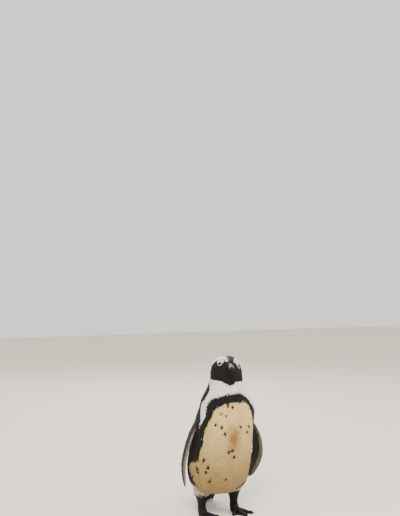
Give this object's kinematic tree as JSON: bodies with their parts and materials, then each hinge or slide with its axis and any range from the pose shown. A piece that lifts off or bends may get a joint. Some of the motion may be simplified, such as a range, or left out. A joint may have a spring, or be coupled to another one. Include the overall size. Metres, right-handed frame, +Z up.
{
  "type": "african penguin",
  "caption": "Still, life-size African penguin standing at rest: upright body, drawn-in neck, turned head, hanging flippers, webbed feet and a short tail laid on the floor.",
  "frame": {"origin": "on the floor under the middle of the bounding box, between and just behind the feet", "axes": "+Z up, -Y the way the body faces, +X the bird's left side"},
  "size_m": [0.2606, 0.2694, 0.482],
  "materials": {
    "plumage_light": "soft matte body feathers, white to cream",
    "plumage_dark": "soft matte black to dark brown feathers",
    "foot_skin": "scaly black skin with a low sheen",
    "bill_horn": "satin black horn with a pale band near the tip",
    "claw_horn": "satin black horn",
    "eye_surface": "wet dark brown eye"
  },
  "bodies": {
    "root": {"trunk": "plumage_light", "neck": "plumage_light", "head": "plumage_dark", "tail": "plumage_dark", "flipper_left": "plumage_dark", "flipper_right": "plumage_dark", "leg_left": "plumage_dark", "leg_right": "plumage_dark", "foot_left": "foot_skin", "foot_right": "foot_skin", "bill_upper": "bill_horn", "bill_lower": "bill_horn", "claw_left_inner": "claw_horn", "claw_left_middle": "claw_horn", "claw_left_outer": "claw_horn", "claw_left_hind": "claw_horn", "claw_right_inner": "claw_horn", "claw_right_middle": "claw_horn", "claw_right_outer": "claw_horn", "claw_right_hind": "claw_horn", "eye_left": "eye_surface", "eye_right": "eye_surface"}
  },
  "joints": []
}
